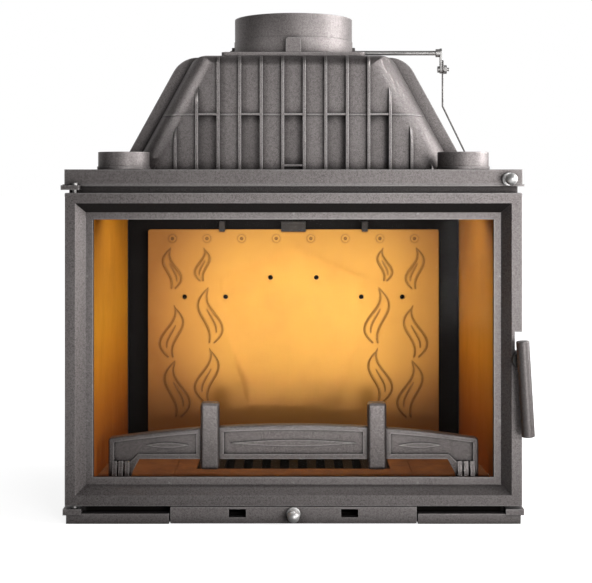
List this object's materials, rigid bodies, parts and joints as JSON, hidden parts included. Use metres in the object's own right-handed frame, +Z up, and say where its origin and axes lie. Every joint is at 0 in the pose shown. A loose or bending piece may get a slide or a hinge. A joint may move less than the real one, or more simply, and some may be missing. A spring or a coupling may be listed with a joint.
{
  "type": "fireplace insert",
  "caption": "Cast-iron wood-burning fireplace insert with a hinged glazed door, ribbed smoke hood, flue damper on a pull rod and a sliding air control.",
  "frame": {"origin": "on the underside of the base, straight below the flue's axis", "axes": "+X to the right seen from the front, +Y to the back, +Z up along the flue"},
  "size_m": [0.7193, 0.426, 0.798],
  "materials": {
    "iron": "graphite-grey heat-resistant paint with a fine metallic grain",
    "lining": "satin gold-brown lining plates",
    "steel": "zinc-plated steel",
    "chrome": "polished",
    "glass": "clear ceramic glass",
    "rope": "knitted glass-fibre rope"
  },
  "bodies": {
    "stove": {"base_tray": "iron", "front_frame": "iron", "frame_bolts": "steel", "left_side_wall": "iron", "right_side_wall": "iron", "rear_wall": "iron", "top_plate": "iron", "left_air_spigot": "iron", "right_air_spigot": "iron", "hood_front": "iron", "hood_rear": "iron", "hood_bolts": "steel", "flue_collar": "iron", "flue_collar_screws": "steel", "damper_bush": "chrome", "upper_ledge": "iron", "left_lower_rail": "iron", "right_lower_rail": "iron", "hinge_pins": "steel", "hinge_spacer": "steel", "latch_keeper": "steel", "air_cover": "iron", "air_bush": "chrome", "air_shelf": "steel", "left_side_lining": "lining", "right_side_lining": "lining", "back_lining": "lining", "back_lining_hooks": "iron", "back_lining_feet": "iron", "left_hearth_plate": "lining", "right_hearth_plate": "lining", "grate_frame": "iron", "fire_bars": "iron", "ash_pan": "steel", "hearth_guard": "iron", "baffle": "iron", "baffle_rests": "iron"},
    "door": {"door_frame": "iron", "door_glass": "glass", "glass_gasket": "rope", "glass_clips": "steel", "glass_clip_screws": "steel", "door_rope_seal": "rope", "handle_bearing": "iron", "handle_bearing_screws": "steel"},
    "handle": {"handle_grip": "iron", "handle_spindle": "iron", "handle_screw": "steel", "latch_finger": "steel", "spindle_nut": "steel"},
    "damper": {"damper_blade": "iron", "damper_pins": "steel", "damper_shaft": "steel", "damper_crank": "steel", "crank_bolt": "steel"},
    "damper_pull_rod": {"damper_wire": "steel", "damper_knob": "chrome"},
    "air_slide": {"air_rod": "steel", "air_knob": "chrome", "air_shutter": "steel"}
  },
  "joints": [
    {"name": "door_swing", "type": "hinge", "parent": "stove", "child": "door", "pos_m": [-0.3355, -0.221, 0.266], "axis": [0, 0, -1], "range_deg": [0, 110]},
    {"name": "handle_turn", "type": "hinge", "parent": "door", "child": "handle", "pos_m": [0.344, -0.22, 0.251], "axis": [0, -1, 0], "range_deg": [-9, 60]},
    {"name": "damper_turn", "type": "hinge", "parent": "stove", "child": "damper", "pos_m": [0, 0, 0.743], "axis": [-1, 0, 0], "range_deg": [-28, 45]},
    {"name": "damper_pull", "type": "slide", "parent": "stove", "child": "damper_pull_rod", "axis": [0, -1, 0], "range_m": [-0.0125, 0.02]},
    {"name": "air_control_pull", "type": "slide", "parent": "stove", "child": "air_slide", "axis": [0, -1, 0], "range_m": [0, 0.03]}
  ],
  "couplings": [
    {"joint": "damper_pull", "follows": "damper_turn", "m_per_rad": 0.0252}
  ]
}
